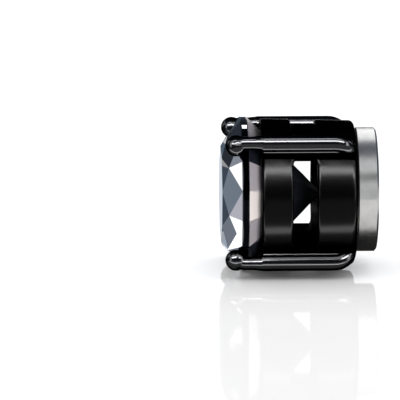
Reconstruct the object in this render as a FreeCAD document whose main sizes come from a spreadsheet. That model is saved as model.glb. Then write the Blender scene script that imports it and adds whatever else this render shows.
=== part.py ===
import FreeCAD
import Part
import Sketcher
import math
import os

# Magnetic stud earring, in millimetres.
# A round black stone sits in a four-claw basket whose rear cup holds a disc magnet,
# and a second, bare disc magnet clings to the cup from behind.
# Each piece is drawn about the earring's axis, which is its local Y axis: the middle of
# the stone's girdle is at Y = 0, the stone faces -Y and the magnets lie towards +Y.
# In the finished frame the earring lies on its side, with the floor at Z = 0.

SIZES = [
    # name, value, what it measures
    ("stone_diameter", 8.0, "stone across its girdle"),
    ("girdle_thickness", 0.38, "girdle where two facets of a tier meet"),
    ("crown_height", 0.99, "girdle to table"),
    ("crown_angle", 33.1, "kite facets, in degrees from the girdle plane"),
    ("star_angle", 19.2, "star facets"),
    ("upper_girdle_angle", 41.2, "upper girdle facets"),
    ("pavilion_angle", 44.0, "pavilion main facets"),
    ("lower_girdle_angle", 45.3, "lower girdle facets"),
    ("culet_depth", 4.0, "girdle mid-plane to the culet's tiny flat"),
    ("stone_turn", 11.25, "a kite's place above the horizontal, in degrees"),
    ("stone_gap", 0.03, "stone to the claws that hold it"),
    ("rail_front", 0.86, "front edge of the basket's front rail"),
    ("rail_rear", 2.45, "front edge of the side slots"),
    ("band_front", 3.72, "rear edge of the side slots"),
    ("setting_rear", 5.78, "rear face of the basket"),
    ("front_radius", 3.9, "basket outside at its front edge"),
    ("rear_radius", 3.78, "basket outside at its rear face"),
    ("bore_radius", 3.38, "inside of the rail"),
    ("ledge_radius", 3.0, "inside of the ledge that the fixed magnet sits on"),
    ("ledge_rear", 4.2, "rear face of that ledge"),
    ("slot_height", 4.9, "side slot, across the earring"),
    ("slot_corner", 0.6, "corner radius of a side slot"),
    ("edge_round", 0.15, "rounding of the rail's and slots' outer edges"),
    ("rear_round", 0.28, "rounding of the rear outer edge"),
    ("seat_reach", 3.3, "how near the axis the claws' groove for the stone goes"),
    ("claw_radius", 0.445, "claw bar"),
    ("claw_reach", 4.41, "axis to the centre of the bar"),
    ("claw_front", 0.85, "front end of the bar, beside the rail's front edge"),
    ("claw_bend", 0.75, "rear bend of the bar's centre line"),
    ("claw_root_reach", 3.5, "how near the axis the bent bar ends, inside the cup's wall"),
    ("shoulder_rear_radius", 0.4, "the shoulder, where it leaves the bar"),
    ("shoulder_front_radius", 0.335, "the shoulder, where it ends in the neck"),
    ("shoulder_rear", 0.95, "rear end of the shoulder, inside the bar"),
    ("shoulder_front", 0.31, "front end of the shoulder, inside the neck"),
    ("neck_reach", 4.46, "axis to the centre of the claw's neck, beside the girdle"),
    ("neck_radius", 0.345, "claw's neck"),
    ("neck_rear", 0.6, "rear end of the neck, inside the shoulder"),
    ("neck_front", -0.02, "where the neck begins to bend in over the girdle"),
    ("neck_bend", 0.4, "bend of the neck's centre line over the girdle"),
    ("neck_turn", 57, "how far the neck bends, in degrees"),
    ("ball_reach", 4.25, "axis to the centre of a claw's ball tip"),
    ("ball_set", 0.5, "girdle mid-plane to the centre of a ball tip"),
    ("ball_radius", 0.55, "ball tip"),
    ("web_front", 0.92, "front end of the web under a claw"),
    ("web_rear", 5.2, "rear end of that web"),
    ("web_outer_width", 0.64, "that web, at the claw"),
    ("web_inner_width", 1.1, "that web, at the basket"),
    ("web_foot_reach", 3.6, "axis to the foot of the web, inside the basket's wall"),
    ("magnet_diameter", 6.5, "both disc magnets"),
    ("magnet_chamfer", 0.1, "edges of both disc magnets"),
    ("magnet_gap", 0.02, "fixed magnet below the rear face, and the two pieces apart"),
    ("fixed_magnet_thickness", 1.53, "magnet in the cup"),
    ("back_magnet_thickness", 1.11, "magnet behind the ear"),
    ("back_magnet_lift", 0.17, "how far above the axis the back magnet has settled"),
]

# The stone's facets, a tier a row: name, angle's name in the sheet, where the plane
# passes (distance from the axis and from the girdle mid-plane), how many facets,
# degrees from a kite's centre line, and the side of the girdle (-1 front, 1 rear).
STONE_RADIUS = "sizes.stone_diameter / 2"
GIRDLE_EDGE = "sizes.girdle_thickness / 2"
GIRDLE_STEP = 11.25
TABLE_STEP = 22.5
GIRDLE_CHORD = f"{STONE_RADIUS} * cos({GIRDLE_STEP})"
TABLE_PLANE = f"{GIRDLE_EDGE} + sizes.crown_height"
TABLE_FLAT = f"({STONE_RADIUS} - sizes.crown_height / tan(sizes.crown_angle)) * cos({TABLE_STEP})"
TIERS = [
    ("kites", "crown_angle", STONE_RADIUS, GIRDLE_EDGE, 8, 0, -1),
    ("stars", "star_angle", TABLE_FLAT, TABLE_PLANE, 8, TABLE_STEP, -1),
    ("upper_girdle", "upper_girdle_angle", GIRDLE_CHORD, GIRDLE_EDGE, 16, GIRDLE_STEP, -1),
    ("pavilion_mains", "pavilion_angle", STONE_RADIUS, GIRDLE_EDGE, 8, 0, 1),
    ("lower_girdle", "lower_girdle_angle", GIRDLE_CHORD, GIRDLE_EDGE, 16, GIRDLE_STEP, 1),
]

CLAWS = 4
CLAW_TURN = 45
QUARTER = math.pi / 2
ON_SURFACE = 0.002
AT_REAR_FACE = 0.01
AXIS = FreeCAD.Vector(0, 1, 0)
ROOT_POINT = (-1, 1)

doc = FreeCAD.newDocument("magnetic_earring")


def make_sheet():
    """One row a size: its name, its value and what it measures."""
    sheet = doc.addObject("Spreadsheet::Sheet", "sizes")
    for row, (name, value, note) in enumerate(SIZES, start=1):
        sheet.set(f"A{row}", name)
        sheet.set(f"B{row}", str(value))
        sheet.set(f"C{row}", note)
        sheet.setAlias(f"B{row}", name)
    doc.recompute()


def make_body(name, turn="0", height=STONE_RADIUS):
    """A piece of the earring, laid on its side and turned about its own axis."""
    body = doc.addObject("PartDesign::Body", name)
    body.Label = name
    body.Placement.Rotation = FreeCAD.Rotation(AXIS, 1)
    rear = "sizes.setting_rear + sizes.magnet_gap + sizes.back_magnet_thickness"
    body.setExpression("Placement.Base.y", f"({TABLE_PLANE} - ({rear})) / 2")
    body.setExpression("Placement.Base.z", height)
    body.setExpression("Placement.Rotation.Angle", turn)
    return body


def origin_part(body, role):
    """The body's own origin plane or axis with this role."""
    return next(part for part in body.Origin.OriginFeatures if part.Role == role)


def new_sketch(body, name, role, lift="0", turn=0.0):
    """A sketch on an origin plane, lifted off it and turned about its own upright."""
    sketch = body.newObject("Sketcher::SketchObject", name)
    sketch.AttachmentSupport = (origin_part(body, role), [""])
    sketch.MapMode = "FlatFace"
    spin = FreeCAD.Rotation(AXIS, turn)
    sketch.AttachmentOffset = FreeCAD.Placement(FreeCAD.Vector(), spin)
    sketch.setExpression("AttachmentOffset.Base.z", lift)
    return sketch


def bind(sketch, constraint, expression):
    """Add a dimension to a sketch and tie its value to the sheet."""
    index = sketch.addConstraint(constraint)
    sketch.setExpression(f"Constraints[{index}]", expression)


def spot(sketch, across, up):
    """Where two expressions place a point of the sketch."""
    return FreeCAD.Vector(sketch.evalExpression(across), sketch.evalExpression(up), 0)


def pin_point(sketch, geometry, end, across, up):
    """Dimension a point of the sketch from its origin, along both of its axes."""
    place = spot(sketch, across, up)
    along = Sketcher.Constraint("DistanceX", *ROOT_POINT, geometry, end, place.x)
    bind(sketch, along, across)
    rise = Sketcher.Constraint("DistanceY", *ROOT_POINT, geometry, end, place.y)
    bind(sketch, rise, up)


def draw_polygon(sketch, corners):
    """A closed outline; each corner is a pair of expressions."""
    places = [spot(sketch, across, up) for across, up in corners]
    sides = [
        sketch.addGeometry(Part.LineSegment(start, end), False)
        for start, end in zip(places, places[1:] + places[:1])
    ]
    for side, following in zip(sides, sides[1:] + sides[:1]):
        sketch.addConstraint(Sketcher.Constraint("Coincident", side, 2, following, 1))
    for side, (across, up) in zip(sides, corners):
        pin_point(sketch, side, 1, across, up)


def draw_circle(sketch, across, up, radius):
    """A circle; centre and radius are expressions."""
    centre = spot(sketch, across, up)
    value = sketch.evalExpression(radius)
    circle = sketch.addGeometry(Part.Circle(centre, FreeCAD.Vector(0, 0, 1), value), False)
    pin_point(sketch, circle, 3, across, up)
    bind(sketch, Sketcher.Constraint("Radius", circle, value), radius)


def repeat_about_axis(body, name, originals, count, angle=360):
    """Copies of features about the earring's axis."""
    pattern = body.newObject("PartDesign::PolarPattern", name)
    pattern.Originals = originals
    pattern.Axis = (origin_part(body, "Y_Axis"), [""])
    pattern.Angle = angle
    pattern.Occurrences = count
    body.Tip = pattern
    return pattern


def pocket_through(body, name, sketch):
    """Cut a sketch both ways through the whole piece."""
    pocket = body.newObject("PartDesign::Pocket", name)
    pocket.Profile = sketch
    pocket.SideType = "Symmetric"
    pocket.Type = "ThroughAll"
    return pocket


def turned(body, kind, name, sketch):
    """Revolve a profile about the earring's axis, to add or to cut."""
    feature = body.newObject(kind, name)
    feature.Profile = sketch
    feature.ReferenceAxis = (origin_part(body, "Y_Axis"), [""])
    feature.Angle = 360
    return feature


def check_removed(body, before, name):
    """A cut that misses the piece leaves its volume as it was."""
    doc.recompute()
    removed = before - body.Shape.Volume
    print(f"{name}: removed {removed:.3f} mm3")
    if removed <= 0:
        raise RuntimeError(f"{name} cut nothing")


def cut_tier(body, name, angle, reach, height, count, offset, side):
    """Cut one tier of facets: a wedge outside the facet's plane, repeated."""
    before = body.Shape.Volume
    sketch = new_sketch(body, f"{name}_outline", "XY_Plane", turn=offset)
    fall = f"tan(sizes.{angle})"
    outside = "sizes.stone_diameter"
    tip = f"{side} * ({height} + ({reach}) * {fall})"
    near_girdle = f"{side} * ({height} - ({outside} - ({reach})) * {fall})"
    corners = [(outside, near_girdle), ("0", tip), (outside, tip)]
    draw_polygon(sketch, corners)
    wedge = pocket_through(body, f"{name}_wedge", sketch)
    doc.recompute()
    repeat_about_axis(body, name, [wedge], count)
    check_removed(body, before, name)


def make_stone():
    """Round brilliant: a cylinder from table to culet with its tiers cut away."""
    stone = make_body("stone", turn="360 - sizes.stone_turn")
    outline = new_sketch(stone, "girdle_outline", "XZ_Plane", lift=TABLE_PLANE)
    draw_circle(outline, "0", "0", STONE_RADIUS)
    blank = stone.newObject("PartDesign::Pad", "stone_blank")
    blank.Profile = outline
    blank.Reversed = True
    blank.setExpression("Length", f"{TABLE_PLANE} + sizes.culet_depth")
    doc.recompute()
    for tier in TIERS:
        cut_tier(stone, *tier)
    return stone


def on_outside(edge):
    """Whether an edge lies on the basket's tapered outside."""
    front = doc.sizes.front_radius
    length = doc.sizes.setting_rear - doc.sizes.rail_front
    taper = (front - doc.sizes.rear_radius) / length
    for point in edge.discretize(5):
        outside = front - (point.y - doc.sizes.rail_front) * taper
        if abs((point.x**2 + point.z**2) ** 0.5 - outside) > ON_SURFACE:
            return False
    return True


def round_edges(body, name, choose, radius):
    """Fillet the edges of the piece so far that a test picks out."""
    doc.recompute()
    base = body.Tip
    names = [f"Edge{i}" for i, edge in enumerate(base.Shape.Edges, 1) if choose(edge)]
    fillet = body.newObject("PartDesign::Fillet", name)
    fillet.Base = (base, names)
    fillet.setExpression("Radius", radius)
    doc.recompute()
    print(f"{name}: {len(names)} edges")


def is_rear_edge(edge):
    """The basket's rear outer edge, next to the ear."""
    return on_outside(edge) and edge.BoundBox.YMin > doc.sizes.setting_rear - AT_REAR_FACE


def is_front_or_slot_edge(edge):
    """The basket's front outer edge and the outer outlines of its slots."""
    return on_outside(edge) and edge.BoundBox.YMax < doc.sizes.setting_rear - AT_REAR_FACE


def make_basket(setting):
    """The tapered tube: front rail, and rear cup with the ledge for its magnet."""
    profile = new_sketch(setting, "basket_profile", "XY_Plane")
    pocket_radius = "sizes.magnet_diameter / 2 + sizes.stone_gap"
    corners = [
        ("sizes.bore_radius", "sizes.rail_front"),
        ("sizes.front_radius", "sizes.rail_front"),
        ("sizes.rear_radius", "sizes.setting_rear"),
        (pocket_radius, "sizes.setting_rear"),
        (pocket_radius, "sizes.ledge_rear"),
        ("sizes.ledge_radius", "sizes.ledge_rear"),
        ("sizes.ledge_radius", "sizes.band_front"),
        ("sizes.bore_radius", "sizes.band_front"),
    ]
    draw_polygon(profile, corners)
    turned(setting, "PartDesign::Revolution", "basket", profile)
    doc.recompute()


def slot_arc(sketch, across, up, start):
    """A quarter-round corner of a slot; its centre is a pair of expressions."""
    circle = Part.Circle(
        spot(sketch, across, up), FreeCAD.Vector(0, 0, 1), doc.sizes.slot_corner
    )
    arc = Part.ArcOfCircle(circle, start * QUARTER, (start + 1) * QUARTER)
    corner = sketch.addGeometry(arc, False)
    pin_point(sketch, corner, 3, across, up)
    return corner


def draw_slot(sketch):
    """A slot's outline: four equal quarter rounds joined by level and upright lines."""
    half = "sizes.slot_height / 2 - sizes.slot_corner"
    front = "sizes.rail_rear + sizes.slot_corner"
    rear = "sizes.band_front - sizes.slot_corner"
    centres = [(half, rear), (f"-({half})", rear), (f"-({half})", front), (half, front)]
    corners = [slot_arc(sketch, *centre, start) for start, centre in enumerate(centres)]
    for corner, following in zip(corners, corners[1:] + corners[:1]):
        start = sketch.getPoint(corner, 2)
        end = sketch.getPoint(following, 1)
        side = sketch.addGeometry(Part.LineSegment(start, end), False)
        sketch.addConstraint(Sketcher.Constraint("Tangent", corner, 2, side, 1))
        sketch.addConstraint(Sketcher.Constraint("Tangent", side, 2, following, 1))
    value = doc.sizes.slot_corner
    bind(sketch, Sketcher.Constraint("Radius", corners[0], value), "sizes.slot_corner")


def cut_slots(setting):
    """Two crossing cuts leave four slots, with a post between each pair."""
    before = setting.Shape.Volume
    outline = new_sketch(setting, "slot_outline", "XY_Plane", turn=CLAW_TURN)
    draw_slot(outline)
    cut = pocket_through(setting, "slot_cut", outline)
    doc.recompute()
    repeat_about_axis(setting, "slots", [cut], 2, angle=90)
    check_removed(setting, before, "slots")


def make_web(setting):
    """The flared web that joins a claw's bar to the basket's outside."""
    sketch = new_sketch(setting, "web_section", "XZ_Plane", lift="-sizes.web_front")
    foot, head = "sizes.web_foot_reach", "sizes.claw_reach"
    inner, outer = "sizes.web_inner_width / 2", "sizes.web_outer_width / 2"
    corners = [(foot, f"-{inner}"), (head, f"-{outer}"), (head, outer), (foot, inner)]
    draw_polygon(sketch, corners)
    web = setting.newObject("PartDesign::Pad", "web")
    web.Profile = sketch
    web.Reversed = True
    web.setExpression("Length", "sizes.web_rear - sizes.web_front")
    return web


def draw_claw_path(sketch):
    """The bar's centre line: along the basket, then bent in behind it."""
    start = spot(sketch, "sizes.claw_reach", "sizes.claw_front")
    bend = doc.sizes.claw_bend
    rear = doc.sizes.setting_rear - doc.sizes.claw_radius
    centre = FreeCAD.Vector(doc.sizes.claw_reach - bend, rear - bend, 0)
    corner = FreeCAD.Vector(centre.x + bend, centre.y, 0)
    crest = FreeCAD.Vector(centre.x, rear, 0)
    circle = Part.Circle(centre, FreeCAD.Vector(0, 0, 1), bend)
    bar = sketch.addGeometry(Part.LineSegment(start, corner), False)
    arc = sketch.addGeometry(Part.ArcOfCircle(circle, 0, QUARTER), False)
    root = FreeCAD.Vector(doc.sizes.claw_root_reach, rear, 0)
    tail = sketch.addGeometry(Part.LineSegment(crest, root), False)
    pin_point(sketch, bar, 1, "sizes.claw_reach", "sizes.claw_front")
    pin_point(sketch, tail, 2, "sizes.claw_root_reach", "sizes.setting_rear - sizes.claw_radius")
    sketch.addConstraint(Sketcher.Constraint("Vertical", bar))
    sketch.addConstraint(Sketcher.Constraint("Horizontal", tail))
    sketch.addConstraint(Sketcher.Constraint("Tangent", bar, 2, arc, 1))
    sketch.addConstraint(Sketcher.Constraint("Tangent", arc, 2, tail, 1))
    bind(sketch, Sketcher.Constraint("Radius", arc, bend), "sizes.claw_bend")


def make_bar(setting):
    """A claw's round bar, from the rail to the rear of the cup."""
    path = new_sketch(setting, "bar_path", "XY_Plane")
    draw_claw_path(path)
    section = new_sketch(setting, "bar_section", "XZ_Plane", lift="-sizes.claw_front")
    draw_circle(section, "sizes.claw_reach", "0", "sizes.claw_radius")
    bar = setting.newObject("PartDesign::AdditivePipe", "bar")
    bar.Profile = section
    bar.Spine = (path, ["Edge1", "Edge2", "Edge3"])
    bar.Transition = "Transformed"
    return bar


def make_shoulder(setting):
    """A short taper from the bar down to the neck, nearly level with both on the outside."""
    sections = []
    for end in ("rear", "front"):
        lift = f"-sizes.shoulder_{end}"
        sketch = new_sketch(setting, f"shoulder_{end}_section", "XZ_Plane", lift=lift)
        draw_circle(sketch, "sizes.neck_reach", "0", f"sizes.shoulder_{end}_radius")
        sections.append(sketch)
    shoulder = setting.newObject("PartDesign::AdditiveLoft", "shoulder")
    shoulder.Profile = sections[0]
    shoulder.Sections = sections[1:]
    shoulder.Ruled = True
    return shoulder


def draw_neck_path(sketch):
    """The neck's centre line: past the girdle, then bent in over the crown."""
    start = spot(sketch, "sizes.neck_reach", "sizes.neck_rear")
    turn_point = spot(sketch, "sizes.neck_reach", "sizes.neck_front")
    bend = doc.sizes.neck_bend
    circle = Part.Circle(turn_point - FreeCAD.Vector(bend, 0, 0), FreeCAD.Vector(0, 0, 1), bend)
    turn = -math.radians(doc.sizes.neck_turn)
    side = sketch.addGeometry(Part.LineSegment(start, turn_point), False)
    arc = sketch.addGeometry(Part.ArcOfCircle(circle, turn, 0), False)
    sketch.addConstraint(Sketcher.Constraint("Tangent", side, 2, arc, 2))
    pin_point(sketch, side, 1, "sizes.neck_reach", "sizes.neck_rear")
    pin_point(sketch, side, 2, "sizes.neck_reach", "sizes.neck_front")
    bind(sketch, Sketcher.Constraint("Radius", arc, bend), "sizes.neck_bend")


def make_neck(setting):
    """The thinner stretch of a claw that passes the girdle."""
    path = new_sketch(setting, "neck_path", "XY_Plane")
    draw_neck_path(path)
    section = new_sketch(setting, "neck_section", "XZ_Plane", lift="-sizes.neck_rear")
    draw_circle(section, "sizes.neck_reach", "0", "sizes.neck_radius")
    neck = setting.newObject("PartDesign::AdditivePipe", "neck")
    neck.Profile = section
    neck.Spine = (path, ["Edge1", "Edge2"])
    return neck


def make_ball_tip(setting):
    """The round tip that grips the crown."""
    ball = setting.newObject("PartDesign::AdditiveSphere", "ball_tip")
    ball.AttachmentSupport = (origin_part(setting, "XY_Plane"), [""])
    ball.MapMode = "FlatFace"
    ball.setExpression("AttachmentOffset.Base.x", "sizes.ball_reach")
    ball.setExpression("AttachmentOffset.Base.y", "-sizes.ball_set")
    ball.setExpression("Radius", "sizes.ball_radius")
    return ball


def cut_seat(setting):
    """Clear the claws of the stone: a groove with the stone's own angles."""
    before = setting.Shape.Volume
    sketch = new_sketch(setting, "seat_profile", "XY_Plane")
    outer = f"{STONE_RADIUS} + sizes.stone_gap"
    inner = "sizes.seat_reach"
    depth = f"({outer} - ({inner}))"
    crown = f"-({GIRDLE_EDGE} + {depth} * tan(sizes.upper_girdle_angle))"
    pavilion = f"{GIRDLE_EDGE} + {depth} * tan(sizes.pavilion_angle)"
    corners = [
        (outer, f"-({GIRDLE_EDGE})"),
        (outer, GIRDLE_EDGE),
        (inner, pavilion),
        (inner, crown),
    ]
    draw_polygon(sketch, corners)
    turned(setting, "PartDesign::Groove", "seat", sketch)
    check_removed(setting, before, "seat")


def make_setting():
    """Basket and claws, soldered into one piece."""
    setting = make_body("claw_setting", turn=str(CLAW_TURN))
    make_basket(setting)
    cut_slots(setting)
    round_edges(setting, "rear_rounding", is_rear_edge, "sizes.rear_round")
    round_edges(setting, "outer_rounding", is_front_or_slot_edge, "sizes.edge_round")
    claw = []
    for make_feature in (make_web, make_bar, make_shoulder, make_neck, make_ball_tip):
        claw.append(make_feature(setting))
        doc.recompute()
    repeat_about_axis(setting, "claws", claw, CLAWS)
    doc.recompute()
    cut_seat(setting)
    return setting


def make_magnet(name, front, thickness, height=STONE_RADIUS):
    """A disc magnet with both edges chamfered."""
    magnet = make_body(name, height=height)
    outline = new_sketch(magnet, f"{name}_outline", "XZ_Plane", lift=f"-({front})")
    draw_circle(outline, "0", "0", "sizes.magnet_diameter / 2")
    disc = magnet.newObject("PartDesign::Pad", f"{name}_disc")
    disc.Profile = outline
    disc.Reversed = True
    disc.setExpression("Length", thickness)
    doc.recompute()
    rims = [
        f"Edge{i}"
        for i, edge in enumerate(disc.Shape.Edges, 1)
        if isinstance(edge.Curve, Part.Circle)
    ]
    chamfer = magnet.newObject("PartDesign::Chamfer", f"{name}_chamfer")
    chamfer.Base = (disc, rims)
    chamfer.setExpression("Size", "sizes.magnet_chamfer")
    return magnet


def check_document():
    """Nothing may have failed quietly while it was worked out."""
    failed = [part.Name for part in doc.Objects if {"Invalid", "Error"} & set(part.State)]
    if failed:
        raise RuntimeError(f"failed: {failed}")


def export_piece(piece):
    """Write one piece as a solid, named as its node."""
    shape = piece.Shape
    if shape.isNull() or not shape.isValid() or len(shape.Solids) != 1:
        raise RuntimeError(f"{piece.Label} is not one valid solid")
    box = shape.BoundBox
    print(
        f"{piece.Label}: {shape.Volume:.3f} mm3, {len(shape.Faces)} faces, "
        f"X {box.XMin:.3f} {box.XMax:.3f}, Y {box.YMin:.3f} {box.YMax:.3f}, "
        f"Z {box.ZMin:.3f} {box.ZMax:.3f}"
    )
    shape.exportStep(os.path.join("parts", f"{piece.Label}.step"))


def main():
    make_sheet()
    fixed_front = "sizes.setting_rear - sizes.magnet_gap - sizes.fixed_magnet_thickness"
    back_front = "sizes.setting_rear + sizes.magnet_gap"
    settled = f"{STONE_RADIUS} + sizes.back_magnet_lift"
    pieces = [
        make_stone(),
        make_setting(),
        make_magnet("fixed_magnet", fixed_front, "sizes.fixed_magnet_thickness"),
        make_magnet("back_magnet", back_front, "sizes.back_magnet_thickness", settled),
    ]
    doc.recompute()
    check_document()
    os.makedirs("parts", exist_ok=True)
    for piece in pieces:
        export_piece(piece)


main()
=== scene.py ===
# %% [markdown]
# # A black magnetic stud earring
#
# This notebook dresses a small jewel: a round black stone in a four-claw basket, with a
# bare disc magnet that clings to the basket's back. The solid parts come ready made,
# at their real size and in metres, so the lesson is about finish: black plating, a cut
# stone, a nickel-plated magnet, and the light that makes a black thing readable.

# %% Load the earring
import bpy
import math
from mathutils import Matrix, Vector


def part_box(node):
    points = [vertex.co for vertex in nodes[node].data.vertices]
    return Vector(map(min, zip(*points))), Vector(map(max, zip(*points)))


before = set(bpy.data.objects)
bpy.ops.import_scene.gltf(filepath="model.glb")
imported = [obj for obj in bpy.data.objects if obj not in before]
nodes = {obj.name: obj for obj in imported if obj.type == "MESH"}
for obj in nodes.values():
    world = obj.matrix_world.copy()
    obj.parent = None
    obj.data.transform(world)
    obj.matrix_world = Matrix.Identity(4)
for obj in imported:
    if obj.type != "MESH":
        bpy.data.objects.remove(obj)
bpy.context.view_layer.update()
MM = 0.001
for name in sorted(nodes):
    low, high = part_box(name)
    corners = [[round(v / MM, 2) for v in corner] for corner in (low, high)]
    print(name, "from", corners[0], "to", corners[1], "mm")

# %% [markdown]
# The earring lies on its side: its axis runs along Y, from the stone at the front to the
# magnet at the back. The finishes, the camera and most of the lamps are placed from that
# axis, so it is measured once.

# %% Measure the axis
stone_low, stone_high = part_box("stone")
AXIS_HEIGHT = (stone_low.z + stone_high.z) / 2
STONE_RADIUS = (stone_high.z - stone_low.z) / 2
middle = Vector((0, 0, AXIS_HEIGHT))
print("axis at", round(AXIS_HEIGHT / MM, 2), "mm, stone radius", round(STONE_RADIUS / MM, 2), "mm")

# %% [markdown]
# Two helpers serve every finish below. Colours are picked as sRGB hex values, as in a
# paint program, and the renderer wants linear light. A node is added with its settings
# and its links in one call, so that each finish reads as a short recipe. An input goes by
# its name, with _ for a space, or by its place: i0 is the first one.

# %% Colour and node helpers
def colour(code):
    """sRGB hex to the linear colour that shaders use."""
    parts = [int(code[i:i + 2], 16) / 255 for i in (1, 3, 5)]
    linear = [v / 12.92 if v <= 0.04045 else ((v + 0.055) / 1.055) ** 2.4 for v in parts]
    return (*linear, 1.0)


def add_node(tree, kind, settings=None, **inputs):
    """A node with its properties set; each input is a value or another node's output."""
    node = tree.nodes.new(kind)
    for key, value in (settings or {}).items():
        setattr(node, key, value)
    for key, value in inputs.items():
        place = int(key[1:]) if key[1:].isdigit() else key.replace("_", " ")
        socket = node.inputs[place]
        if isinstance(value, bpy.types.NodeSocket):
            tree.links.new(value, socket)
        else:
            socket.default_value = value
    return node


def new_material(name):
    """A node material with one glossy shader; returns both and the tree between them."""
    material = bpy.data.materials.new(name)
    material.use_nodes = True
    tree = material.node_tree
    return material, tree, tree.nodes["Principled BSDF"]

# %% [markdown]
# ## Black plating
#
# The basket is taken to be steel with a black ion-plated skin: a hard, very thin metal
# coat. In the picture it is nearly black between a few sharp lines, so its colours are
# darker than such a coat usually has, and only strong lamps show in it. The claws draw
# each lamp as a crisp line, so they are made polished wire. The tube blurs the same lamp
# to a soft grey bar, so it is made satin. The joints between claw and tube show no light
# at all, so all four get painted shade: their colour is pure black, which mirrors nothing.
# One material does all three: it measures how far each point lies from the nearest claw
# and from the axis.

# %% Black ion plating
CLAW_REACH = 4.41 * MM
CLAW_RADIUS = 0.445 * MM
CLAW_FADE = (0.01 * MM, 0.04 * MM)
RAIL_FRONT = -2.02 * MM
JOINT_REACH = 3.5 * MM
JOINT_WIDTH = 0.8 * MM
JOINT_FADE = 0.06 * MM
POLISHED = 0.14
SATIN = 0.22
RIPPLE = 0.02
RIPPLE_SIZE = 1.2 * MM
GRAIN_SIZE = 0.05 * MM
GRAIN_HEIGHT = 0.01 * MM

black_plating, tree, shader = new_material("black_ion_plated_steel")
place = add_node(tree, "ShaderNodeTexCoord").outputs["Object"]
centred = add_node(tree, "ShaderNodeVectorMath", {"operation": "SUBTRACT"}, i0=place, i1=middle)
folded = add_node(tree, "ShaderNodeVectorMath", {"operation": "ABSOLUTE"}, i0=centred.outputs[0])
bar = CLAW_REACH / math.sqrt(2)
from_bar = add_node(tree, "ShaderNodeVectorMath", {"operation": "SUBTRACT"},
                    i0=folded.outputs[0], i1=(bar, 0, bar))
sideways = add_node(tree, "ShaderNodeVectorMath", {"operation": "MULTIPLY"},
                    i0=from_bar.outputs[0], i1=(1, 0, 1))
gap = add_node(tree, "ShaderNodeVectorMath", {"operation": "LENGTH"}, i0=sideways.outputs[0])
on_bar = add_node(tree, "ShaderNodeMapRange", Value=gap.outputs["Value"],
                  From_Min=CLAW_RADIUS + CLAW_FADE[0], From_Max=CLAW_RADIUS + CLAW_FADE[1],
                  To_Min=1.0, To_Max=0.0)
along = add_node(tree, "ShaderNodeSeparateXYZ", Vector=place)
ahead = add_node(tree, "ShaderNodeMath", {"operation": "LESS_THAN"},
                 i0=along.outputs["Y"], i1=RAIL_FRONT)
wire = add_node(tree, "ShaderNodeMath", {"operation": "MAXIMUM"},
                i0=on_bar.outputs[0], i1=ahead.outputs[0])
level = add_node(tree, "ShaderNodeVectorMath", {"operation": "MULTIPLY"},
                 i0=centred.outputs[0], i1=(1, 0, 1))
reach = add_node(tree, "ShaderNodeVectorMath", {"operation": "LENGTH"}, i0=level.outputs[0])
outside = add_node(tree, "ShaderNodeMath", {"operation": "GREATER_THAN"},
                   i0=reach.outputs["Value"], i1=JOINT_REACH)
sides = add_node(tree, "ShaderNodeSeparateXYZ", Vector=folded.outputs[0])
skew = add_node(tree, "ShaderNodeMath", {"operation": "SUBTRACT"},
                i0=sides.outputs["X"], i1=sides.outputs["Z"])
skew = add_node(tree, "ShaderNodeMath", {"operation": "ABSOLUTE"}, i0=skew.outputs[0])
diagonal = add_node(tree, "ShaderNodeMapRange", Value=skew.outputs[0],
                    From_Min=JOINT_WIDTH, From_Max=JOINT_WIDTH + JOINT_FADE, To_Min=1.0, To_Max=0.0)
near_claw = add_node(tree, "ShaderNodeMath", {"operation": "MULTIPLY"},
                     i0=outside.outputs[0], i1=diagonal.outputs[0])
# Painted shade: this mask marks the four joints between claw and tube.
joint_shade = add_node(tree, "ShaderNodeMath", {"operation": "SUBTRACT", "use_clamp": True},
                 i0=near_claw.outputs[0], i1=wire.outputs[0])
ripple = add_node(tree, "ShaderNodeTexNoise", Vector=place, Scale=1 / RIPPLE_SIZE, Detail=2.0)
grain = add_node(tree, "ShaderNodeTexNoise", Vector=place, Scale=1 / GRAIN_SIZE, Detail=3.0)
finish = add_node(tree, "ShaderNodeMapRange", Value=wire.outputs[0], To_Min=SATIN, To_Max=POLISHED)
roughness = add_node(tree, "ShaderNodeMath", {"operation": "MULTIPLY_ADD"},
                     i0=ripple.outputs["Fac"], i1=RIPPLE, i2=finish.outputs[0])
tone = add_node(tree, "ShaderNodeMix", {"data_type": "RGBA"}, Factor=wire.outputs[0],
                A=colour("#101010"), B=colour("#2A2A2B"))
bump = add_node(tree, "ShaderNodeBump", Strength=0.008, Distance=GRAIN_HEIGHT,
                Height=grain.outputs["Fac"])
# Painted shade: the joints' colour is set to pure black.
skin = add_node(tree, "ShaderNodeMix", {"data_type": "RGBA"}, Factor=joint_shade.outputs[0],
                A=tone.outputs["Result"], B=colour("#000000"))
tree.links.new(skin.outputs["Result"], shader.inputs["Base Color"])
tree.links.new(roughness.outputs[0], shader.inputs["Roughness"])
tree.links.new(bump.outputs[0], shader.inputs["Normal"])
shader.inputs["Metallic"].default_value = 1.0
shader.inputs["Specular Tint"].default_value = colour("#303032")
print("plating: wire roughness", POLISHED, "tube roughness", SATIN)

# %% [markdown]
# ## Black stone
#
# Black cubic zirconia lets no light through, so the whole look is the mirror of its flat
# facets. Its index of 2.16 makes them mirror far more than glass does. The rear facets
# beside the girdle look pale in the picture, where a clean mirror would only show the
# basket. A painted reflection stands in for that: those facets get a dark grey base colour
# and a rough, unpolished surface, and a lamp of its own brightens them. It is painted the
# same in all four gaps between the claws and left out next to each claw, where the claws
# shade the facets. Every second facet is a little lighter, as in the picture. The girdle,
# the narrow rim between front and rear, is made metallic, which leaves it nearly black.

# %% Black cubic zirconia
GIRDLE_FRONT = -3.07 * MM
GIRDLE_REAR = -2.7 * MM
FROST_END = -1.9 * MM
FROST_FADE = 0.3 * MM
EDGE = 0.03 * MM
GAP_START = 0.8
GAP_FULL = 0.92
FACET_PAIRS = 8.0
CLOUD_SIZE = 0.8 * MM
FACET_POLISH = 0.015
FACET_FROST = 0.3

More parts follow.
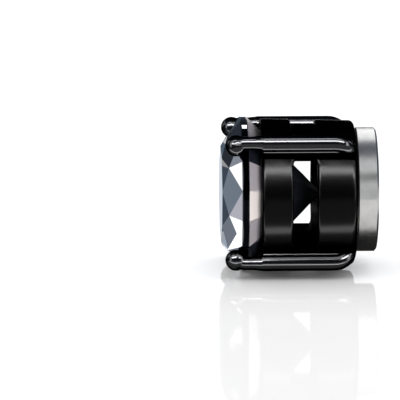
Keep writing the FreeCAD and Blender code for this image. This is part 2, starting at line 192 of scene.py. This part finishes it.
black_stone, tree, shader = new_material("black_cubic_zirconia")
place = add_node(tree, "ShaderNodeTexCoord").outputs["Object"]
along = add_node(tree, "ShaderNodeSeparateXYZ", Vector=place).outputs["Y"]
behind_crown = add_node(tree, "ShaderNodeMapRange", Value=along,
                        From_Min=GIRDLE_FRONT - EDGE, From_Max=GIRDLE_FRONT + EDGE)
behind_girdle = add_node(tree, "ShaderNodeMapRange", Value=along,
                         From_Min=GIRDLE_REAR - EDGE, From_Max=GIRDLE_REAR + EDGE)
polished_rear = add_node(tree, "ShaderNodeMapRange", Value=along,
                         From_Min=FROST_END, From_Max=FROST_END + FROST_FADE)
frost = add_node(tree, "ShaderNodeMath", {"operation": "SUBTRACT", "use_clamp": True},
                 i0=behind_girdle.outputs[0], i1=polished_rear.outputs[0])
girdle = add_node(tree, "ShaderNodeMath", {"operation": "SUBTRACT", "use_clamp": True},
                  i0=behind_crown.outputs[0], i1=behind_girdle.outputs[0])
facing = add_node(tree, "ShaderNodeNewGeometry").outputs["True Normal"]
outward = add_node(tree, "ShaderNodeVectorMath", {"operation": "MULTIPLY"}, i0=facing, i1=(1, 0, 1))
outward = add_node(tree, "ShaderNodeVectorMath", {"operation": "NORMALIZE"}, i0=outward.outputs[0])
outward = add_node(tree, "ShaderNodeSeparateXYZ", Vector=outward.outputs[0])
across = add_node(tree, "ShaderNodeMath", {"operation": "ABSOLUTE"}, i0=outward.outputs["X"])
upright = add_node(tree, "ShaderNodeMath", {"operation": "ABSOLUTE"}, i0=outward.outputs["Z"])
between_claws = add_node(tree, "ShaderNodeMath", {"operation": "MAXIMUM"},
                         i0=across.outputs[0], i1=upright.outputs[0])
in_gap = add_node(tree, "ShaderNodeMapRange", Value=between_claws.outputs[0],
                  From_Min=GAP_START, From_Max=GAP_FULL)
cloud = add_node(tree, "ShaderNodeTexNoise", Vector=place, Scale=1 / CLOUD_SIZE, Detail=4.0)
smoke = add_node(tree, "ShaderNodeMix", {"data_type": "RGBA"}, Factor=cloud.outputs["Fac"],
                 A=colour("#050609"), B=colour("#0A0C11"))
# Painted reflection: this mask marks the rear facets in the gaps between the claws.
frosted_painted_reflection = add_node(tree, "ShaderNodeMath", {"operation": "MULTIPLY"},
                   i0=frost.outputs[0], i1=in_gap.outputs[0])
angle = add_node(tree, "ShaderNodeMath", {"operation": "ARCTAN2"},
                 i0=outward.outputs["Z"], i1=outward.outputs["X"])
turned = add_node(tree, "ShaderNodeMath", {"operation": "MULTIPLY"},
                  i0=angle.outputs[0], i1=FACET_PAIRS)
every_second = add_node(tree, "ShaderNodeMath", {"operation": "COSINE"}, i0=turned.outputs[0])
lighter = add_node(tree, "ShaderNodeMapRange", Value=every_second.outputs[0],
                   From_Min=-1.0, From_Max=1.0)
# Painted reflection: two greys, every second facet lighter, as the base colour of those facets.
painted_reflection_tone = add_node(tree, "ShaderNodeMix", {"data_type": "RGBA"}, Factor=lighter.outputs[0],
                      A=colour("#4A494C"), B=colour("#6A6867"))
tone = add_node(tree, "ShaderNodeMix", {"data_type": "RGBA"}, Factor=frosted_painted_reflection.outputs[0],
                A=smoke.outputs["Result"], B=painted_reflection_tone.outputs["Result"])
roughness = add_node(tree, "ShaderNodeMapRange", Value=frosted_painted_reflection.outputs[0],
                     To_Min=FACET_POLISH, To_Max=FACET_FROST)
tree.links.new(tone.outputs["Result"], shader.inputs["Base Color"])
tree.links.new(roughness.outputs[0], shader.inputs["Roughness"])
tree.links.new(girdle.outputs[0], shader.inputs["Metallic"])
shader.inputs["IOR"].default_value = 2.16
girdle_height = GIRDLE_REAR - GIRDLE_FRONT
print("stone: girdle", round(girdle_height / MM, 2), "mm, frosted to Y", round(FROST_END / MM, 2), "mm")

# %% [markdown]
# ## Bare nickel
#
# Disc magnets like these are usually neodymium under a plate of nickel. In the picture
# the disc is pale grey and soft rather than mirror-bright, so the plate is given a fairly
# rough surface. The faint rings in it are a guess at how such a disc is finished.

# %% Nickel-plated neodymium
RING_SPACING = 0.08 * MM
RING_STRETCH = 0.08
RING_HEIGHT = 0.01 * MM
SPOT_SIZE = 0.5 * MM
SMOOTHEST = 0.24
ROUGHEST = 0.4

nickel_plate, tree, shader = new_material("nickel_plated_neodymium")
place = add_node(tree, "ShaderNodeTexCoord").outputs["Object"]
stretched = add_node(tree, "ShaderNodeVectorMath", {"operation": "MULTIPLY"},
                     i0=place, i1=(RING_STRETCH, 1.0, RING_STRETCH))
rings = add_node(tree, "ShaderNodeTexNoise", Vector=stretched.outputs[0],
                 Scale=1 / RING_SPACING, Detail=3.0)
spots = add_node(tree, "ShaderNodeTexNoise", Vector=place, Scale=1 / SPOT_SIZE, Detail=3.0)
tone = add_node(tree, "ShaderNodeMix", {"data_type": "RGBA"}, Factor=spots.outputs["Fac"],
                A=colour("#ACABA9"), B=colour("#CCCBC9"))
roughness = add_node(tree, "ShaderNodeMapRange", Value=rings.outputs["Fac"],
                     To_Min=SMOOTHEST, To_Max=ROUGHEST)
bump = add_node(tree, "ShaderNodeBump", Strength=0.15, Distance=RING_HEIGHT,
                Height=rings.outputs["Fac"])
tree.links.new(tone.outputs["Result"], shader.inputs["Base Color"])
tree.links.new(roughness.outputs[0], shader.inputs["Roughness"])
tree.links.new(bump.outputs[0], shader.inputs["Normal"])
shader.inputs["Metallic"].default_value = 1.0
print("nickel: roughness from", SMOOTHEST, "to", ROUGHEST)

# %% Dress the nodes
finishes = {
    "claw_setting": black_plating,
    "stone": black_stone,
    "fixed_magnet": nickel_plate,
    "back_magnet": nickel_plate,
}
for name, finish in finishes.items():
    nodes[name].material_slots[0].material = finish
    print(name, "wears", finish.name)

# %% [markdown]
# ## Camera
#
# A long lens from the side, ten degrees above the table, turned a little towards the
# stone. It aims past the earring, so that the earring stands in the right half of the
# picture.

# %% Place the camera
VIEW_AZIMUTH = math.radians(86.8)
VIEW_ELEVATION = math.radians(10.0)
DISTANCE = 250 * MM
PIXELS_PER_MM = 19.1
IMAGE_SIDE = 400
AXIS_PIXEL = (297.8, 192.3)
SENSOR_WIDTH = 36


def toward(azimuth, elevation):
    """Unit vector in a direction: azimuth 0 is the stone's side, 90 is the camera's side."""
    return Vector((
        math.sin(azimuth) * math.cos(elevation),
        -math.cos(azimuth) * math.cos(elevation),
        math.sin(elevation),
    ))


to_camera = toward(VIEW_AZIMUTH, VIEW_ELEVATION)
bpy.ops.object.camera_add(location=middle + to_camera * DISTANCE)
camera = bpy.context.active_object
camera.data.sensor_width = SENSOR_WIDTH
camera.data.lens = PIXELS_PER_MM * DISTANCE / MM / IMAGE_SIDE * SENSOR_WIDTH
right = Vector((0, 0, 1)).cross(to_camera).normalized()
up = to_camera.cross(right)
aside = (IMAGE_SIDE / 2 - AXIS_PIXEL[0]) / PIXELS_PER_MM * MM
above = (AXIS_PIXEL[1] - IMAGE_SIDE / 2) / PIXELS_PER_MM * MM
target = middle + right * aside + up * above
camera.rotation_euler = (target - camera.location).to_track_quat("-Z", "Y").to_euler()
camera.data.clip_start = 1 * MM
camera.data.clip_end = 10
bpy.context.scene.camera = camera
print("lens", round(camera.data.lens), "mm")

# %% [markdown]
# ## Light
#
# Black plating and a black stone are lit by what they mirror. The earring stands on a
# white floor in a white tent, but in reflections the tent is dim, as if dark cloth hung
# all round: that keeps the plating black. Lamps then draw the lines and tones that tell
# the shapes apart. Each lamp is linked to the pieces that it is for, the way a
# photographer flags a lamp off everything else. Places and strengths were found by trial
# against the picture, from this camera, so other sides are plainer and darker.

# %% White tent with dark reflections
TENT = "#FFFFFF"
CLOTH = "#545C68"

scene = bpy.context.scene
scene.view_settings.view_transform = "Standard"
world = bpy.data.worlds.new("white_tent")
scene.world = world
world.use_nodes = True
tree = world.node_tree
path = add_node(tree, "ShaderNodeLightPath")
seen = add_node(tree, "ShaderNodeMix", {"data_type": "RGBA"}, Factor=path.outputs["Is Glossy Ray"],
                A=colour(TENT), B=colour(CLOTH))
tree.links.new(seen.outputs["Result"], tree.nodes["Background"].inputs["Color"])
print("the camera sees", TENT, "and reflections see", CLOTH)

# %% White acrylic floor
FLOOR_SIZE = 2000 * MM

bpy.ops.mesh.primitive_plane_add(size=FLOOR_SIZE, location=(0, 0, 0))
floor = bpy.context.active_object
floor.name = "floor"
acrylic, tree, shader = new_material("white_acrylic_sheet")
shader.inputs["Base Color"].default_value = colour("#FFFFFF")
shader.inputs["Roughness"].default_value = 0.05
shader.inputs["IOR"].default_value = 1.3
floor.data.materials.append(acrylic)
print("floor", round(FLOOR_SIZE / MM), "mm square")

# %% One lamp
SETTING = [nodes["claw_setting"]]
STONE = [nodes["stone"]]
MAGNETS = [nodes["fixed_magnet"], nodes["back_magnet"]]
FLOOR = [floor]


def add_lamp(name, pieces, place, aim, width, length, radiance, tint="#FFFFFF"):
    """A flat lamp in millimetres, length along Y, that lights only the named pieces."""
    place, aim = Vector(place) * MM, Vector(aim) * MM
    bpy.ops.object.light_add(type="AREA", location=place)
    lamp = bpy.context.active_object
    lamp.name = name
    back = (place - aim).normalized()
    level = Vector((0, 1, 0)).cross(back).normalized()
    along = back.cross(level)
    turn = Matrix((level, along, back)).transposed()
    lamp.rotation_euler = turn.to_euler()
    lamp.data.shape = "RECTANGLE"
    lamp.data.size = width * MM
    lamp.data.size_y = length * MM
    lamp.data.energy = radiance * math.pi * width * length * MM * MM
    lamp.data.color = colour(tint)[:3]
    lamp.visible_camera = False
    group = bpy.data.collections.new(name + "_lights")
    for piece in pieces:
        group.objects.link(piece)
    lamp.light_linking.receiver_collection = group
    print(name, "radiance", radiance, "on", ", ".join(piece.name for piece in pieces))
    return lamp


def lamp_toward(name, pieces, azimuth, elevation, distance, width, length, radiance, tint="#FFFFFF"):
    """A lamp that faces the earring's middle from a direction given in degrees."""
    centre = middle / MM
    place = centre + toward(math.radians(azimuth), math.radians(elevation)) * distance
    return add_lamp(name, pieces, place, centre, width, length, radiance, tint)

# %% [markdown]
# Long strips run beside the earring, 80 mm away. The near one draws the bright line along
# each claw and puts the soft bar on the tube, and the top one thickens that line. The far
# one catches the upper edges, and does the near one's work for the other side. One on the
# floor shows as the fainter line underneath. Four lying crosswise pick out the rims.

# %% Strips for the plating
STRIP_DISTANCE = 80
STRIP_LENGTH = 170
EDGE_AZIMUTH = 25
EDGE_ELEVATION = 12
EDGE_SIZE = (70, 16)
FLOOR_STRIP_X = 5.8
FLOOR_STRIP_Z = 0.05
FLOOR_STRIP_SIZE = (1.2, 40)

for name, azimuth, elevation, width, radiance in [
    ("near_strip", 90, 41, 22, 58),
    ("top_strip", 90, 68, 8, 20),
    ("far_strip", -90, 41, 22, 58),
]:
    lamp_toward(name, SETTING, azimuth, elevation, STRIP_DISTANCE, width, STRIP_LENGTH, radiance)
add_lamp("floor_strip", SETTING, (FLOOR_STRIP_X, 0, FLOOR_STRIP_Z), (FLOOR_STRIP_X, 0, 1),
         *FLOOR_STRIP_SIZE, 17)
for side, sign in (("near", 1), ("far", -1)):
    for end, azimuth, radiance in (("front", EDGE_AZIMUTH, 10), ("rear", 180 - EDGE_AZIMUTH, 15)):
        lamp_toward(f"{side}_{end}_edge", SETTING, sign * azimuth, EDGE_ELEVATION,
                    STRIP_DISTANCE, *EDGE_SIZE, radiance)

# %% [markdown]
# The lower claw would mirror the near strip as brightly as the upper one does. A narrow
# black flag stands in that light's way, and leaves only the claw's tip bright.

# %% Flag for the lower claw
FLAG_SIZE = (5.2, 10.0)
FLAG_PLACE = (18.15, 3.9, 14.6)
FLAG_TILT = 42

bpy.ops.mesh.primitive_plane_add(size=1.0, location=Vector(FLAG_PLACE) * MM)
flag = bpy.context.active_object
flag.name = "flag"
flag.scale = (FLAG_SIZE[0] * MM, FLAG_SIZE[1] * MM, 1)
flag.rotation_euler = (0, math.radians(90 - FLAG_TILT), 0)
bpy.ops.object.transform_apply(location=False, rotation=True, scale=True)
flag.visible_camera = False
flag.visible_diffuse = False
velvet, tree, shader = new_material("black_velvet")
shader.inputs["Base Color"].default_value = colour("#050505")
shader.inputs["Specular IOR Level"].default_value = 0.0
flag.data.materials.append(velvet)
print("flag", FLAG_SIZE, "mm at", FLAG_PLACE)

# %% [markdown]
# A cut stone shows each lamp in a whole facet at once. Small lamps in front of the stone
# are placed one by one, each where one facet mirrors it to the camera. Five more show
# only as reflections: a spark near the top, and four that keep the crown lively from
# other sides. The soft box called frost_box does the opposite: it lights the painted
# reflection, the grey on the rear facets, and no facet mirrors it.

# %% Lamps for the facets
FACET_DISTANCE = 60
CROWN_DISTANCE = 80
FROST_BOX_SIDE = 60

for name, azimuth, elevation, side, radiance, tint in [
    ("white_facet", -9, 10, 12, 7, "#FFFFFF"),
    ("upper_facet", -28, 22, 12, 1.8, "#D8E2F0"),
    ("kite", -20, -2, 10, 1.3, "#C9D6EA"),
]:
    lamp_toward(name, STONE, azimuth, elevation, FACET_DISTANCE, side, side, radiance, tint)
add_lamp("lavender_facet", STONE, (2.6, -16.4, 1.75), (3.6, -3.4, 4), 3, 3, 3.6, "#E0DFEA")
add_lamp("low_white_facet", STONE, (2.1, -7.6, 0.1), (2.1, -7.6, 1), 4, 5, 6)
for name, azimuth, elevation, side, radiance in [
    ("spark", -90, 53, 14, 60),
    ("crown_right", 58, 33, 26, 2.5),
    ("crown_left", -48, 46, 22, 1.2),
    ("crown_top", 18, 64, 20, 5),
    ("crown_low", 62, -1, 14, 1.6),
]:
    reflected = lamp_toward(name, STONE, azimuth, elevation, CROWN_DISTANCE, side, side, radiance)
    reflected.visible_diffuse = False
frost_box = lamp_toward("frost_box", STONE, 120, 5, CROWN_DISTANCE,
                        FROST_BOX_SIDE, FROST_BOX_SIDE, 52.0, "#FFF8F6")
frost_box.visible_glossy = False

# %% [markdown]
# The bare magnet mirrors broad soft boxes, one on each side, with a dark gap overhead.

# %% Soft boxes for the nickel
BOX_DISTANCE = 90
BOX_LENGTH = 110

lamp_toward("near_box", MAGNETS, 90, 38, BOX_DISTANCE, 110, BOX_LENGTH, 1.0)
lamp_toward("far_box", MAGNETS, -90, 45, BOX_DISTANCE, 80, BOX_LENGTH, 1.8)

# %% [markdown]
# The white floor would shine into every lower edge. Five sheets lie on it. Black felt under
# the basket and beyond it is painted shade: lower edges mirror it in place of the floor's
# shade under the earring. A glowing lavender sheet is what the stone's table mirrors, and
# three glowing slate and blue-grey ones are for the facets round the table. The camera
# doesn't see them, only reflections do, and each is clear from below, so that the floor's
# own mirror image stays white.

# %% Glowing sheets and painted shade on the floor
CLOTH_HEIGHT = 0.02 * MM


def add_cloth(name, x_range, y_range, radiance, tint):
    """A flat sheet on the floor between two X and two Y places, in millimetres."""
    middle_x, middle_y = sum(x_range) / 2, sum(y_range) / 2
    bpy.ops.mesh.primitive_plane_add(size=1.0, location=(middle_x * MM, middle_y * MM, CLOTH_HEIGHT))
    sheet = bpy.context.active_object
    sheet.name = name
    sheet.scale = ((x_range[1] - x_range[0]) * MM, (y_range[1] - y_range[0]) * MM, 1)
    bpy.ops.object.transform_apply(location=False, rotation=False, scale=True)
    sheet.visible_camera = False
    sheet.visible_diffuse = False
    sheet.visible_shadow = False
    material, tree, shader = new_material(name)
    shader.inputs["Base Color"].default_value = colour("#000000")
    shader.inputs["Specular IOR Level"].default_value = 0.0
    shader.inputs["Emission Color"].default_value = colour(tint)
    shader.inputs["Emission Strength"].default_value = radiance
    underside = add_node(tree, "ShaderNodeNewGeometry").outputs["Backfacing"]
    upside = add_node(tree, "ShaderNodeMath", {"operation": "SUBTRACT"}, i0=1.0, i1=underside)
    tree.links.new(upside.outputs[0], shader.inputs["Alpha"])
    sheet.data.materials.append(material)
    print(name, "radiance", radiance)


# The first sheet is painted shade, near black; the other four glow and show only in reflections.
for name, x_range, y_range, radiance, tint in [
    ("painted_shade_felt", (-60, 3.6), (-3.4, 13), 0.02, "#FFFFFF"),
    ("lavender_sheet", (-60, -4.5), (-6.3, -3.4), 1.05, "#DDE4EE"),
    ("slate_cloth", (-100, -4.5), (-150, -6.3), 0.6, "#8FA3BC"),
    ("blue_grey_cloth", (-4.5, 1.6), (-14, -4.6), 1.2, "#C9D6EA"),
    ("front_cloth", (-4.5, 100), (-150, -14), 0.5, "#8FA3BC"),
]:
    add_cloth(name, x_range, y_range, radiance, tint)

# %% [markdown]
# The floor gets lamps of its own. White walls stand far out on all four sides, and only
# the floor's mirror sees them, so that the earring's reflection shows against white. The
# walls lean by a hair, because add_lamp can't turn a lamp that faces exactly along Y. One
# more lamp fills the floor from above. The earring casts no shadow in its light.

# %% Lamps for the floor
WALL_DISTANCE = 400
WALL_HEIGHT = 300
WALL_LENGTH = 900
FILL_HEIGHT = 300
FILL_SIDE = 600
SLIGHTLY_DOWN = Vector((0, 0, 0.001))

for azimuth in (-90, 0, 90, 180):
    outward = toward(math.radians(azimuth), 0)
    place = outward * WALL_DISTANCE + Vector((0, 0, WALL_HEIGHT / 2))
    aim = place - outward - SLIGHTLY_DOWN
    wall = add_lamp(f"wall_{azimuth}", FLOOR, place, aim, WALL_HEIGHT, WALL_LENGTH, 1.0)
    wall.visible_diffuse = False
floor_fill = add_lamp("floor_fill", FLOOR, (0, 0, FILL_HEIGHT), (0, 0, 0), FILL_SIDE, FILL_SIDE, 0.5)
no_shadow = bpy.data.collections.new("floor_fill_shadow")
no_shadow.objects.link(floor)
floor_fill.light_linking.blocker_collection = no_shadow
floor_fill.visible_glossy = False
